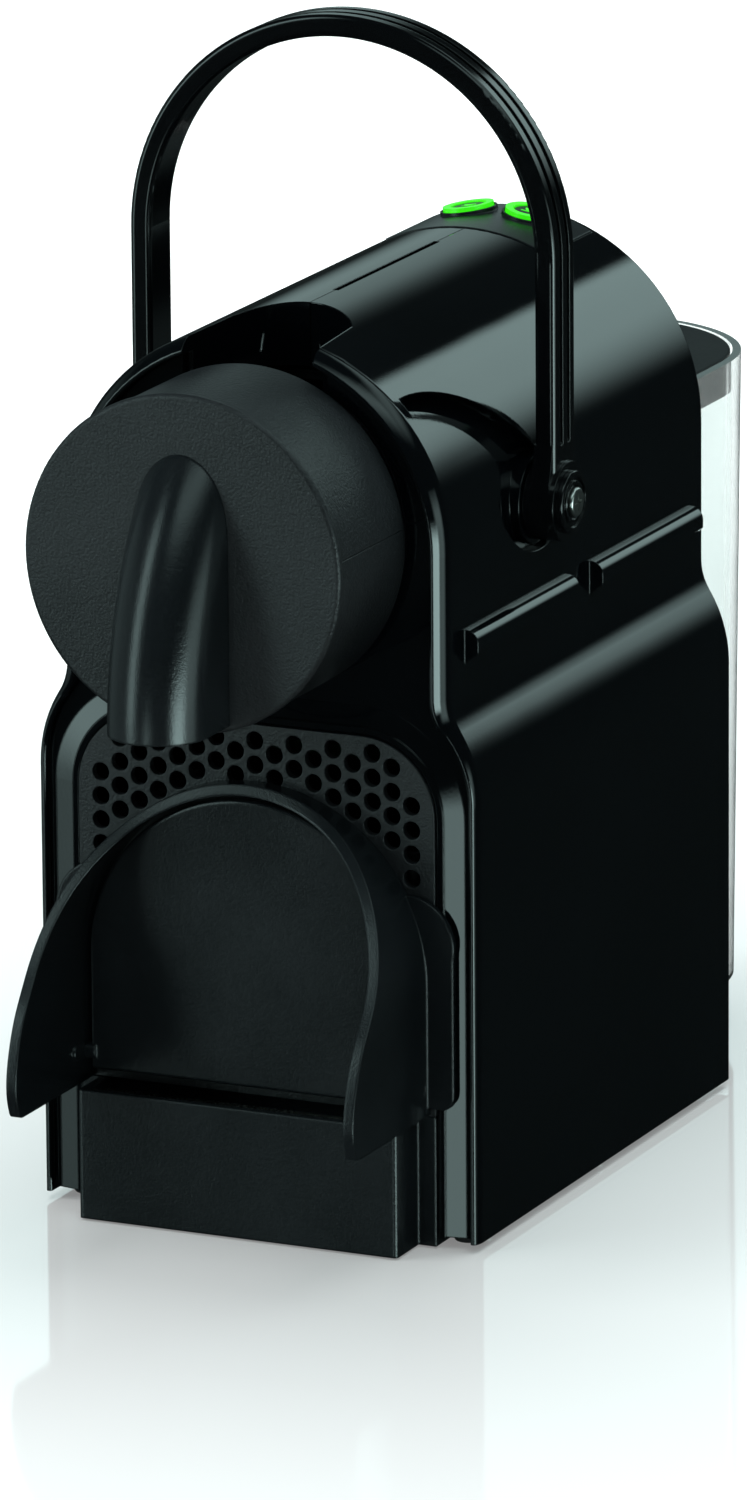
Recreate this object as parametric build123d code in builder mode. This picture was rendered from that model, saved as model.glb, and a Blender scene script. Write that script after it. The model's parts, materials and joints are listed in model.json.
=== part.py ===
from build123d import *
import os
from math import cos, radians, sin

os.makedirs("parts", exist_ok=True)

# Frame: the front faces -Y, +X is to the right seen from the front, +Z is up.
# A depth is the distance behind the shell's front plane; a height is measured from the worktop.
front_y = -89.65  # row Y of the shell's front plane

# Body shell
body_depth = 159.4
base_half = 58.8
barrel_r = 51.2
barrel_z = 173.9
shoulder_low = 112.0
shoulder_high = 138.0
shoulder_share = 0.7  # how far up the shoulder its outward bend goes
shell_bottom = 2.2
wall = 3.0
lip_depth = 8.4
lip_base_half = 56.6
lip_ring_r = 47.4
seam = 0.12
front_round = 6.5
lip_round = 0.8

# Head
head_z = 176.2
head_r = 41.0
disc_r = 41.7
disc_front = -36.7
head_back = 3.0
spout_half = 12.5
spout_front = -62.0
spout_bottom = 137.8

# Lever
pivot_depth = 61.2
pivot_z = 175.5
arch_z = 235.6
arch_outer = 57.1
arch_inner = 51.6
arm_width = 12.7
hub_r = 10.0
boss_r = 11.2
axle_r = 4.0

# Front unit
grille_depth = 3.4
opening_half = 48.1
opening_top = 127.6
opening_corner = 20.0
cowl_z = 66.8
cowl_r = 46.3
cowl_wall = 2.6
tray_half = 42.9
tray_front = -9.4
tray_top = 33.4
tray_back = 98.0
hinge_z = 41.5

# Tank
tank_r = 41.4
tank_centre = 199.9
tank_front = 162.6
tank_low = 14.0
tank_high = 179.2
tank_wall = 2.2

# Buttons
button_depth = 150.3
button_x = 8.4
button_r = 6.5


def front_view(depth):
    """Plane seen from the front: local x is X, local y is height."""
    return Plane(origin=(0, front_y + depth, 0), x_dir=(1, 0, 0), z_dir=(0, -1, 0))


def side_view(x):
    """Plane seen from the +X side: local x is depth, local y is height."""
    return Plane(origin=(x, front_y, 0), x_dir=(0, 1, 0), z_dir=(1, 0, 0))


def top_view(height):
    """Plane seen from above: local x is X, local y is depth."""
    return Plane(origin=(0, front_y, height), x_dir=(1, 0, 0), z_dir=(0, 0, 1))


def block(x_low, x_high, near, far, low, high, mode=Mode.ADD):
    """Rectangular block between two X values, two depths and two heights."""
    with BuildSketch(top_view(low)) as outline:
        with Locations(((x_low + x_high) / 2, (near + far) / 2)):
            Rectangle(x_high - x_low, far - near)
    extrude(outline.sketch, amount=high - low, mode=mode)


def rod_x(depth, height, radius, x_low, x_high, mode=Mode.ADD):
    """Round bar along X."""
    with BuildSketch(side_view(x_low)) as outline:
        with Locations((depth, height)):
            Circle(radius)
    extrude(outline.sketch, amount=x_high - x_low, mode=mode)


def rod_y(x, height, radius, near, far, mode=Mode.ADD):
    """Round bar along Y."""
    with BuildSketch(front_view(near)) as outline:
        with Locations((x, height)):
            Circle(radius)
    extrude(outline.sketch, amount=near - far, mode=mode)


def rod_z(x, depth, radius, low, high, mode=Mode.ADD):
    """Round bar along Z."""
    with BuildSketch(top_view(low)) as outline:
        with Locations((x, depth)):
            Circle(radius)
    extrude(outline.sketch, amount=high - low, mode=mode)


def half_outline(depth, low_half, ring_r, bottom):
    """Right half of the body's front outline: base, S-shaped shoulder, neck and round top."""
    middle = (
        low_half + shoulder_share * (ring_r - low_half),
        shoulder_low + shoulder_share * (shoulder_high - shoulder_low),
    )
    with BuildSketch(front_view(depth)) as outline:
        with BuildLine():
            foot = Line((0, bottom), (low_half, bottom))
            flank = Line(foot @ 1, (low_half, shoulder_low))
            lower = TangentArc(flank @ 1, middle, tangent=flank % 1)
            upper = TangentArc(lower @ 1, (ring_r, shoulder_high), tangent=lower % 1)
            neck = Line(upper @ 1, (ring_r, barrel_z))
            crown = CenterArc((0, barrel_z), ring_r, 0, 90)
            Line(crown @ 1, foot @ 0)
        make_face()
    return outline.sketch


def inset_outline(depth, inset):
    """Right half of the body's outline, moved inwards all round except at the bottom."""
    return half_outline(depth, base_half - inset, barrel_r - inset, shell_bottom - 10 * min(inset, 1))


def opening_outline(depth, half, top, corner, bottom):
    """Front outline of the opening for the drip unit: open at the bottom, round top corners."""
    with BuildSketch(front_view(depth)) as outline:
        with Locations((0, (top + bottom) / 2)):
            Rectangle(2 * half, top - bottom)
        fillet(outline.vertices().group_by(Axis.Y)[-1], corner)
    return outline.sketch


# ---------------------------------------------------------------- body shell

# The recess round the lever's pivot, which runs up and forward over the barrel.
with BuildSketch(side_view(20)) as recess_outline:
    with BuildLine():
        rim_top = ThreePointArc((9.7, 210), (40.4, 203.5), (61.2, 188))
        rim_back = ThreePointArc(rim_top @ 1, (73.4, 175.5), (61.2, 163.4))
        rim_low = ThreePointArc(rim_back @ 1, (42.4, 169.6), (35.0, 179.8))
        rim_nose = ThreePointArc(rim_low @ 1, (38.6, 187), (36, 193.1))
        rim_front = ThreePointArc(rim_nose @ 1, (24, 201.5), (9.7, 206))
        Line(rim_front @ 1, rim_top @ 0)
    make_face()

recess_deep = 4.0
with BuildPart() as recess_cut:
    extrude(recess_outline.sketch, amount=40)
    extrude(inset_outline(0, recess_deep), amount=-body_depth, mode=Mode.SUBTRACT)

with BuildSketch(side_view(20)) as pan_outline:
    add(recess_outline.sketch_local)
    offset(amount=2.2, kind=Kind.ARC)

with BuildPart() as recess_pan:
    extrude(pan_outline.sketch, amount=40)
    extrude(inset_outline(0, 0.5), amount=-body_depth, mode=Mode.INTERSECT)
    extrude(inset_outline(0, recess_deep + 2.2), amount=-body_depth, mode=Mode.SUBTRACT)
    block(0, 60, -10, lip_depth, 150, 260, mode=Mode.SUBTRACT)

# The wall that closes the hollow behind and beside the capsule opening.
capsule_half = 17.4
capsule_rear_half = 15.9
capsule_corner = 27.0
capsule_far = 37.5
chute_wall = 1.6
chute_low = 209.0

with BuildSketch(top_view(chute_low)) as capsule_outline:
    with BuildLine():
        mouth = Line((0, -1), (capsule_half, -1))
        cheek = Line(mouth @ 1, (capsule_half, 5))
        side = Line(cheek @ 1, (capsule_rear_half, capsule_corner))
        rear = ThreePointArc(side @ 1, (9.4, 34.6), (0, capsule_far))
        Line(rear @ 1, mouth @ 0)
    make_face()

with BuildSketch(top_view(chute_low)) as chute_outline:
    add(capsule_outline.sketch_local)
    offset(amount=chute_wall, kind=Kind.ARC)
    add(capsule_outline.sketch_local, mode=Mode.SUBTRACT)

with BuildPart() as chute_lining:
    extrude(chute_outline.sketch, amount=30)
    block(-5, 30, -10, lip_depth - 1, 150, 260, mode=Mode.SUBTRACT)
    block(-5, 0, -10, 60, 150, 260, mode=Mode.SUBTRACT)
    extrude(inset_outline(0, 1.0), amount=-body_depth, mode=Mode.INTERSECT)

# Finger ribs on the shell's flanks.
rib_low = 144.7
rib_high = 153.5
rib_out = 54.8
rib_spans = ((14.1, 75.0), (89.2, 152.1))

# Slot along the top, and the cut-out for the button panel.
slot_half = 0.8
slot_near = 52.0
slot_far = 112.0
slot_floor = 223.4
panel_near = 129.0
panel_far = 157.8
panel_half = 22.0

post_spots = ((52.2, 22.0), (52.2, 90.0), (50.2, 140.0))
post_half = 3.2
screw_r = 1.5


def rising(edge):
    """True for an edge of a front rim, false for its two straight ends."""
    return edge.center().X > 1 and edge.bounding_box().size.Z > 0.5


def rib_section(depth):
    """Front outline of one finger rib: round top, flat outer face, sloping underside."""
    with BuildSketch(front_view(depth)) as section:
        with BuildLine():
            top = Line((49.6, rib_high), (rib_out - 3.2, rib_high))
            crest = ThreePointArc(top @ 1, (rib_out - 0.9, rib_high - 1.0), (rib_out, rib_high - 3.2))
            face = Line(crest @ 1, (rib_out, rib_low + 3.4))
            under = Line(face @ 1, (50.8, rib_low))
            inner = Line(under @ 1, (49.6, rib_low))
            Line(inner @ 1, top @ 0)
        make_face()
    return section.sketch


with BuildPart() as shell_right:
    extrude(inset_outline(0, 0), amount=-body_depth)
    fillet(shell_right.edges().group_by(Axis.Y)[0].filter_by(rising), front_round)
    extrude(inset_outline(lip_depth, wall), amount=-body_depth, mode=Mode.SUBTRACT)
    extrude(half_outline(0, lip_base_half, lip_ring_r, -5), amount=-lip_depth, mode=Mode.SUBTRACT)
    fillet(shell_right.edges(Select.LAST).group_by(Axis.Y)[0].filter_by(rising), lip_round)
    for rib_near, rib_far in rib_spans:
        extrude(rib_section(rib_near), amount=rib_near - rib_far)
    for post_x, post_depth in post_spots:
        block(post_x - post_half, base_half - 2, post_depth - post_half, post_depth + post_half, 6.2, 26)
        rod_z(post_x, post_depth, screw_r, 6, 18, mode=Mode.SUBTRACT)
    add(chute_lining.part)
    add(recess_pan.part)
    add(recess_cut.part, mode=Mode.SUBTRACT)
    rod_x(pivot_depth, pivot_z, boss_r, 45.4, 49.6)
    rod_x(pivot_depth, pivot_z, axle_r + 0.06, 40, 60, mode=Mode.SUBTRACT)
    extrude(capsule_outline.sketch, amount=40, mode=Mode.SUBTRACT)
    block(-1, slot_half, slot_near, slot_far, slot_floor, 230, mode=Mode.SUBTRACT)
    block(-1, panel_half, panel_near, panel_far, 195, 230, mode=Mode.SUBTRACT)
    block(-1, seam, -1, body_depth + 1, 0, 230, mode=Mode.SUBTRACT)
shell_right.part.label = "shell_right"
export_step(shell_right.part, "parts/shell_right.step")

with BuildPart() as shell_left:
    mirror(shell_right.part, about=Plane.YZ)
shell_left.part.label = "shell_left"
export_step(shell_left.part, "parts/shell_left.step")

# ---------------------------------------------------------------- front panel round the head and opening

panel_depth = 5.5
panel_thick = 2.8
bead = 1.7
bead_proud = 1.5
frame_half = opening_half + bead + 5.0
frame_top = opening_top + bead + 5.0
frame_corner = opening_corner + bead + 5.0
frame_rise = 1.0
head_hole_r = 39.6
panel_top = 186.0
panel_slot = capsule_half + chute_wall + 0.2


def above_base(edge):
    """True for the edges of the raised frame, false for its foot."""
    return edge.center().Z > 10


# A raised frame slopes away from the opening on both sides and the top, inside it stands a bead.
with BuildPart() as front_panel:
    extrude(half_outline(panel_depth, lip_base_half - 0.15, lip_ring_r - 0.15, 3.0), amount=-panel_thick)
    mirror(about=Plane.YZ)
    extrude(opening_outline(panel_depth, frame_half, frame_top, frame_corner, 3.0), amount=frame_rise)
    frame_face = front_panel.faces(Select.LAST).sort_by(Axis.Y)[0]
    frame_edges = frame_face.edges().filter_by(above_base)
    chamfer(frame_edges, length=4.9, length2=frame_rise - 0.05, reference=frame_face)
    extrude(
        opening_outline(panel_depth, opening_half + bead, opening_top + bead, opening_corner + bead, 3.0),
        amount=bead_proud,
    )
    rod_y(0, head_z, head_hole_r, 0, 20, mode=Mode.SUBTRACT)
    block(-panel_slot, panel_slot, 0, 20, panel_top, 230, mode=Mode.SUBTRACT)
    extrude(
        opening_outline(20, opening_half, opening_top, opening_corner, -5),
        amount=40,
        mode=Mode.SUBTRACT,
    )
front_panel.part.label = "front_panel"
export_step(front_panel.part, "parts/front_panel.step")

# ---------------------------------------------------------------- head

head_wall = 2.2
head_front = disc_front + 1.8
head_split = 180.2
head_flange_r = 36.0


def head_cup():
    """The head's cover as one cup, open at the front, with a mounting flange at the back."""
    with BuildPart() as cup:
        rod_y(0, head_z, head_r, head_front, head_back)
        rod_y(0, head_z, head_r - head_wall, head_front - 1, head_back - 2.2, mode=Mode.SUBTRACT)
        rod_y(0, head_z, head_flange_r, head_front, head_back + 1, mode=Mode.SUBTRACT)
        fillet(cup.edges().group_by(Axis.Y)[-1].sort_by(SortBy.RADIUS)[-1], 1.2)
    return cup.part


with BuildPart() as head_cover_top:
    add(head_cup())
    block(-60, 60, -60, 60, 100, head_split + 0.08, mode=Mode.SUBTRACT)
head_cover_top.part.label = "head_cover_top"
export_step(head_cover_top.part, "parts/head_cover_top.step")

with BuildPart() as head_cover_bottom:
    add(head_cup())
    block(-60, 60, -60, 60, head_split - 0.08, 260, mode=Mode.SUBTRACT)
head_cover_bottom.part.label = "head_cover_bottom"
export_step(head_cover_bottom.part, "parts/head_cover_bottom.step")

# The spout is a bent round bar that leaves the disc and turns down, with flat flanks behind it.
spout_bend = 97.4
bend_centre = spout_front + spout_bend
bar_bend = spout_bend - spout_half
stem_r = 8.0
stem_z = 188.0

with BuildPart() as head_disc:
    rod_y(0, head_z, disc_r, disc_front, head_front)
    fillet(head_disc.edges().group_by(Axis.Y)[0], 1.1)
    rod_y(0, stem_z, stem_r + 0.1, disc_front - 1, head_front + 1, mode=Mode.SUBTRACT)
head_disc.part.label = "head_disc"
export_step(head_disc.part, "parts/head_disc.step")

with BuildPart() as spout:
    with BuildLine(side_view(0)) as bar_path:
        CenterArc((bend_centre, spout_bottom), bar_bend, 180, -47)
    with BuildSketch(top_view(spout_bottom)):
        with Locations((0, spout_front + spout_half)):
            Circle(spout_half)
    sweep()
    with BuildSketch(side_view(-spout_half)) as flank_outline:
        with BuildLine():
            bar_line = CenterArc((bend_centre, spout_bottom), bar_bend, 180, -32)
            back_line = Line(bar_line @ 1, (disc_front + 8, (bar_line @ 1).Y))
            down_line = Line(back_line @ 1, (disc_front + 8, spout_bottom))
            Line(down_line @ 1, bar_line @ 0)
        make_face()
    extrude(amount=2 * spout_half)
    block(-40, 40, disc_front, 60, 100, 260, mode=Mode.SUBTRACT)
    rod_z(0, spout_front + spout_half, 9.6, spout_bottom - 1, spout_bottom + 14, mode=Mode.SUBTRACT)
    rod_y(0, stem_z, stem_r, disc_front - 0.5, head_front + 2)
spout.part.label = "spout"
export_step(spout.part, "parts/spout.step")

with BuildPart() as spout_nozzle:
    rod_z(0, spout_front + spout_half, 6.4, spout_bottom + 2.5, spout_bottom + 14)
    rod_z(0, spout_front + spout_half, 9.6, spout_bottom + 11.5, spout_bottom + 14)
    for drop_x in (-2.6, 2.6):
        rod_z(drop_x, spout_front + spout_half, 1.7, spout_bottom, spout_bottom + 15, mode=Mode.SUBTRACT)
spout_nozzle.part.label = "spout_nozzle"
export_step(spout_nozzle.part, "parts/spout_nozzle.step")

# ---------------------------------------------------------------- brew unit inside the head and barrel

chamber_r = 17.0
cage_in = 24.0
cage_out = 28.0
plate_depth = -8.0

with BuildPart() as outlet_funnel:
    with BuildSketch(front_view(-28)):
        with Locations((0, head_z)):
            Circle(14)
    with BuildSketch(front_view(plate_depth - 3.2)):
        with Locations((0, head_z)):
            Circle(24)
    loft()
    with BuildSketch(front_view(-25)):
        with Locations((0, head_z)):
            Circle(11)
    with BuildSketch(front_view(plate_depth - 3.2)):
        with Locations((0, head_z)):
            Circle(22)
    loft(mode=Mode.SUBTRACT)
outlet_funnel.part.label = "outlet_funnel"
export_step(outlet_funnel.part, "parts/outlet_funnel.step")

with BuildPart() as outlet_plate:
    rod_y(0, head_z, 24, plate_depth - 3, plate_depth)
    with BuildSketch(front_view(plate_depth + 1)) as drain_holes:
        with Locations((0, head_z)):
            with HexLocations(3.4, 5, 5):
                Circle(0.7)
    extrude(drain_holes.sketch, amount=5, mode=Mode.SUBTRACT)
outlet_plate.part.label = "outlet_plate"
export_step(outlet_plate.part, "parts/outlet_plate.step")

cage_low = 148.0
cage_high = 202.0
cage_far = 104.0

with BuildPart() as brew_cage:
    for side_sign in (-1, 1):
        rail = sorted((side_sign * cage_in, side_sign * cage_out))
        block(rail[0], rail[1], plate_depth + 0.2, cage_far, cage_low, cage_high)
    block(-cage_in, cage_in, cage_far - 4, cage_far, cage_low, cage_high)
    rod_y(0, head_z, 39.0, head_back + 0.2, head_back + 2.6)
    block(-cage_in, cage_in, head_back, head_back + 5, cage_low, 240, mode=Mode.SUBTRACT)
    block(-60, 60, plate_depth - 1, head_back + 0.2, 100, 155, mode=Mode.SUBTRACT)
    block(-60, 60, plate_depth - 1, head_back + 0.2, 196, 240, mode=Mode.SUBTRACT)
    rod_y(0, head_z, 6.2, cage_far - 10, cage_far + 10, mode=Mode.SUBTRACT)
brew_cage.part.label = "brew_cage"
export_step(brew_cage.part, "parts/brew_cage.step")

piston_near = 44.0
piston_far = 62.0

with BuildPart() as brew_piston:
    rod_y(0, head_z, chamber_r + 2, piston_near, piston_far)
    rod_y(0, head_z, chamber_r - 1.5, piston_near - 1, piston_near + 12, mode=Mode.SUBTRACT)
    rod_y(0, head_z, 6.0, piston_far, cage_far + 8)
    rod_y(0, head_z, 1.5, piston_near, cage_far + 9, mode=Mode.SUBTRACT)
    for side_sign in (-1, 1):
        shoe = sorted((side_sign * chamber_r, side_sign * (cage_in - 0.3)))
        block(shoe[0], shoe[1], piston_far - 8, piston_far, head_z - 5, head_z + 5)
brew_piston.part.label = "brew_piston"
export_step(brew_piston.part, "parts/brew_piston.step")

with BuildPart() as piston_seal:
    rod_y(0, head_z, chamber_r + 1.2, piston_near - 2.0, piston_near)
    rod_y(0, head_z, chamber_r - 1.0, piston_near - 3, piston_near + 1, mode=Mode.SUBTRACT)
piston_seal.part.label = "piston_seal"
export_step(piston_seal.part, "parts/piston_seal.step")

# The shutter that covers the capsule opening when the lever is down.
shutter_half = 16.2
shutter_near = 40.0
shutter_far = 78.0
shutter_low = 205.2

with BuildPart() as capsule_shutter:
    block(-shutter_half, shutter_half, shutter_near + 6, shutter_far, shutter_low, shutter_low + 2.4)
    with BuildSketch(top_view(shutter_low)) as shutter_nose:
        with BuildLine():
            nose = ThreePointArc(
                (-shutter_half, shutter_near + 6), (0, shutter_near), (shutter_half, shutter_near + 6)
            )
            Line(nose @ 1, nose @ 0)
        make_face()
    extrude(amount=2.4)
capsule_shutter.part.label = "capsule_shutter"
export_step(capsule_shutter.part, "parts/capsule_shutter.step")

# ---------------------------------------------------------------- chassis

cheek_in = 38.0
cheek_out = 41.0
chassis_low = 132.0
chassis_high = 190.0
bulkhead = 115.0

with BuildPart() as chassis:
    for side_sign in (-1, 1):
        cheek_span = sorted((side_sign * cheek_in, side_sign * cheek_out))
        block(cheek_span[0], cheek_span[1], 10, bulkhead + 3, chassis_low, chassis_high)
        ledge = sorted((side_sign * (cage_out + 0.1), side_sign * cheek_in))
        block(ledge[0], ledge[1], 92, 104, cage_low, cage_low + 4)
        block(ledge[0], ledge[1], 10, 20, cage_low, cage_low + 4)
    block(-cheek_out, cheek_out, bulkhead, bulkhead + 3, 106, chassis_high)
    rod_x(pivot_depth, pivot_z, axle_r + 0.06, -60, 60, mode=Mode.SUBTRACT)
    rod_y(0, head_z, 8, bulkhead - 5, bulkhead + 10, mode=Mode.SUBTRACT)
chassis.part.label = "chassis"
export_step(chassis.part, "parts/chassis.step")

# ---------------------------------------------------------------- lever

arm_half = arm_width / 2
groove_r = 0.8
groove_low = 190.0
hub_in = 50.0
hub_out = 58.1
crank_in = 30.0
crank_out = 34.0
crank_long = 15.0


def arch_outline(depth, outer, inner, low):
    """Front outline of the lever's band: two straight legs under a half circle."""
    with BuildSketch(front_view(depth)) as band:
        with Locations((0, arch_z)):
            Circle(outer)
        with Locations((0, (arch_z + low) / 2)):
            Rectangle(2 * outer, arch_z - low)
        with Locations((0, arch_z)):
            Circle(inner, mode=Mode.SUBTRACT)
        with Locations((0, (arch_z + low) / 2 - 1)):
            Rectangle(2 * inner, arch_z - low + 2, mode=Mode.SUBTRACT)
    return band.sketch


with BuildPart() as handle_bar:
    extrude(arch_outline(pivot_depth - arm_half, arch_outer, arch_inner, pivot_z), amount=-arm_width)
    fillet(handle_bar.edges().filter_by(lambda e: e.bounding_box().size.Z > 40), 1.3)
    for groove_offset in (-2.1, 2.1):
        extrude(
            arch_outline(
                pivot_depth + groove_offset - groove_r, arch_outer + 1, arch_outer - 0.9, groove_low
            ),
            amount=-2 * groove_r,
            mode=Mode.SUBTRACT,
        )
    for side_sign in (-1, 1):
        hub = sorted((side_sign * hub_in, side_sign * hub_out))
        rod_x(pivot_depth, pivot_z, hub_r, hub[0], hub[1])
        with BuildSketch(side_view(side_sign * arch_inner)) as cheek_outline:
            with BuildLine():
                left_flare = TangentArc(
                    (pivot_depth - hub_r * 0.94, pivot_z + 3.4),
                    (pivot_depth - arm_half, pivot_z + 15),
                    tangent=(0.34, 0.94),
                )
                Line(left_flare @ 1, (pivot_depth + arm_half, pivot_z + 15))
                right_flare = TangentArc(
                    (pivot_depth + hub_r * 0.94, pivot_z + 3.4),
                    (pivot_depth + arm_half, pivot_z + 15),
                    tangent=(-0.34, 0.94),
                )
                Line(right_flare @ 0, left_flare @ 0)
            make_face()
        extrude(cheek_outline.sketch, amount=side_sign * (arch_outer - arch_inner - 0.6))
    rod_x(pivot_depth, pivot_z, axle_r + 0.02, -70, 70, mode=Mode.SUBTRACT)
handle_bar.part.label = "handle_bar"
export_step(handle_bar.part, "parts/handle_bar.step")

with BuildPart() as handle_axles:
    for side_sign in (-1, 1):
        stub = sorted((side_sign * crank_out, side_sign * hub_out))
        rod_x(pivot_depth, pivot_z, axle_r, stub[0], stub[1])
        tapped = sorted((side_sign * (hub_out - 9), side_sign * (hub_out + 1)))
        rod_x(pivot_depth, pivot_z, screw_r, tapped[0], tapped[1], mode=Mode.SUBTRACT)
handle_axles.part.label = "handle_axles"
export_step(handle_axles.part, "parts/handle_axles.step")

with BuildPart() as lever_cranks:
    for side_sign in (-1, 1):
        with BuildSketch(side_view(side_sign * crank_in)) as crank_outline:
            with Locations((pivot_depth + crank_long / 2, pivot_z)):
                SlotCenterToCenter(crank_long, 9)
            with Locations((pivot_depth + crank_long, pivot_z)):
                Circle(1.6, mode=Mode.SUBTRACT)
        extrude(crank_outline.sketch, amount=side_sign * (crank_out - crank_in))
lever_cranks.part.label = "lever_cranks"
export_step(lever_cranks.part, "parts/lever_cranks.step")

cap_out = 59.6
cap_r = 7.8

with BuildPart() as pivot_caps:
    for side_sign in (-1, 1):
        cap = sorted((side_sign * hub_out, side_sign * cap_out))
        rod_x(pivot_depth, pivot_z, cap_r, cap[0], cap[1])
    fillet(pivot_caps.edges().group_by(Axis.X)[0] + pivot_caps.edges().group_by(Axis.X)[-1], 0.5)
    for side_sign in (-1, 1):
        ring_floor = side_sign * (cap_out - 0.5)
        with BuildSketch(side_view(ring_floor)) as ring_groove:
            with Locations((pivot_depth, pivot_z)):
                Circle(6.3)
                Circle(5.3, mode=Mode.SUBTRACT)
                Circle(4.3)
        extrude(ring_groove.sketch, amount=side_sign * 2, mode=Mode.SUBTRACT)
    rod_x(pivot_depth, pivot_z, screw_r + 0.05, -70, 70, mode=Mode.SUBTRACT)
pivot_caps.part.label = "pivot_caps"
export_step(pivot_caps.part, "parts/pivot_caps.step")

head_out = 60.6
screw_head_r = 3.7

with BuildPart() as handle_screws:
    for side_sign in (-1, 1):
        shank = sorted((side_sign * (hub_out - 8), side_sign * (cap_out - 0.5)))
        rod_x(pivot_depth, pivot_z, screw_r - 0.02, shank[0], shank[1])
        pan = sorted((side_sign * (cap_out - 0.5), side_sign * head_out))
        rod_x(pivot_depth, pivot_z, screw_head_r, pan[0], pan[1])
    fillet(handle_screws.edges().group_by(Axis.X)[0] + handle_screws.edges().group_by(Axis.X)[-1], 0.7)
    for side_sign in (-1, 1):
        with BuildSketch(side_view(side_sign * (head_out - 0.9))) as cross_slot:
            with Locations((pivot_depth, pivot_z)):
                Rectangle(4.2, 0.9)
                Rectangle(0.9, 4.2)
        extrude(cross_slot.sketch, amount=side_sign * 2, mode=Mode.SUBTRACT)
handle_screws.part.label = "handle_screws"
export_step(handle_screws.part, "parts/handle_screws.step")

# ---------------------------------------------------------------- button panel and buttons

panel_proud = 0.25
well_r = button_r + 0.3
collar_r = well_r + 0.5
button_tilt = 9.17
button_z = barrel_z + barrel_r * cos(radians(button_tilt))
button_bottom = -5.5


def button_plane(side_sign, rise):
    """Plane tangent to the barrel under one button, raised along the barrel's radius."""
    tilt = Vector(side_sign * sin(radians(button_tilt)), 0, cos(radians(button_tilt)))
    origin = Vector(side_sign * button_x, front_y + button_depth, button_z) + tilt * rise
    return Plane(origin=origin, x_dir=(0, 1, 0), z_dir=tilt)


def button_rod(side_sign, radius, low, high, mode=Mode.ADD):
    """Round bar along one button's line of travel."""
    with BuildSketch(button_plane(side_sign, low)) as outline:
        Circle(radius)
    extrude(outline.sketch, amount=high - low, mode=mode)


with BuildPart() as button_panel:
    rod_y(0, barrel_z, barrel_r + panel_proud, panel_near + 0.15, panel_far - 0.15)
    for side_sign in (-1, 1):
        button_rod(side_sign, collar_r, -2, 0.9)
    rod_y(0, barrel_z, barrel_r - 2.6, panel_near - 1, panel_far + 1, mode=Mode.SUBTRACT)
    panel_edge = panel_half - 0.15
    block(-80, -panel_edge, 100, 160, 100, 240, mode=Mode.SUBTRACT)
    block(panel_edge, 80, 100, 160, 100, 240, mode=Mode.SUBTRACT)
    block(-80, 80, 100, 160, 100, 195, mode=Mode.SUBTRACT)
    for side_sign in (-1, 1):
        button_rod(side_sign, well_r, -8, 4, mode=Mode.SUBTRACT)
button_panel.part.label = "button_panel"
export_step(button_panel.part, "parts/button_panel.step")

for side_name, side_sign in (("left", -1), ("right", 1)):
    with BuildPart() as button_cap:
        button_rod(side_sign, 4.4, button_bottom, 1.5)
        fillet(button_cap.edges().group_by(Axis.Z)[-1], 0.5)
        button_rod(side_sign, button_r, button_bottom, button_bottom + 2)
        button_rod(side_sign, 4.0, button_bottom - 1.0, button_bottom)
    button_cap.part.label = "button_" + side_name
    export_step(button_cap.part, "parts/button_" + side_name + ".step")

    with BuildPart() as light_ring:
        button_rod(side_sign, button_r, button_bottom + 2, 1.9)
        button_rod(side_sign, 4.42, button_bottom, 3, mode=Mode.SUBTRACT)
        fillet(light_ring.edges().sort_by(Axis.Z)[-1:], 0.3)
    light_ring.part.label = "light_ring_" + side_name
    export_step(light_ring.part, "parts/light_ring_" + side_name + ".step")

board_z = 212.0

with BuildPart() as button_board:
    block(-19, 19, 136, 155, board_z, board_z + 1.6)
    for side_sign in (-1, 1):
        rod_z(side_sign * 7.4, button_depth, 2.2, board_z + 1.6, board_z + 4.2)
button_board.part.label = "button_board"
export_step(button_board.part, "parts/button_board.step")

# ---------------------------------------------------------------- front unit: tray, grille, cowl, platform

tray_wall = 2.2
tray_low = 0.6
tray_wide = 47.6
tray_step = grille_depth

with BuildPart() as drip_tray:
    block(-tray_half, tray_half, tray_front, tray_step + 5, tray_low, tray_top)
    block(-tray_wide, tray_wide, tray_step, tray_back, tray_low, tray_top)
    fillet(drip_tray.edges().filter_by(Axis.Z).group_by(Axis.Y)[0], 1.0)
    block(
        -tray_half + tray_wall, tray_half - tray_wall, tray_front + tray_wall, tray_step + 6,
        tray_low + 2, 40, mode=Mode.SUBTRACT,
    )
    block(
        -tray_wide + tray_wall, tray_wide - tray_wall, tray_step + tray_wall, tray_back - tray_wall,
        tray_low + 2, 40, mode=Mode.SUBTRACT,
    )
    for side_sign in (-1, 1):
        ledge = sorted((side_sign * 40.5, side_sign * (tray_wide - 1)))
        block(ledge[0], ledge[1], 10, 90, 9.5, 12.8)
        grid_ledge = sorted((side_sign * 38.5, side_sign * (tray_half - 1)))
        block(grid_ledge[0], grid_ledge[1], tray_front + 1, tray_step - 0.4, 26.5, 28.8)
drip_tray.part.label = "drip_tray"
export_step(drip_tray.part, "parts/drip_tray.step")

with BuildPart() as drip_grid:
    block(-40.5, 40.5, tray_front + tray_wall + 0.3, tray_step - 0.4, 29.0, 30.8)
    with BuildSketch(top_view(28)) as grid_slots:
        with Locations((0, -1.2)):
            with GridLocations(6.2, 0, 12, 1):
                SlotOverall(7.2, 3.0, rotation=90)
    extrude(grid_slots.sketch, amount=4, mode=Mode.SUBTRACT)
drip_grid.part.label = "drip_grid"
export_step(drip_grid.part, "parts/drip_grid.step")

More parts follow.
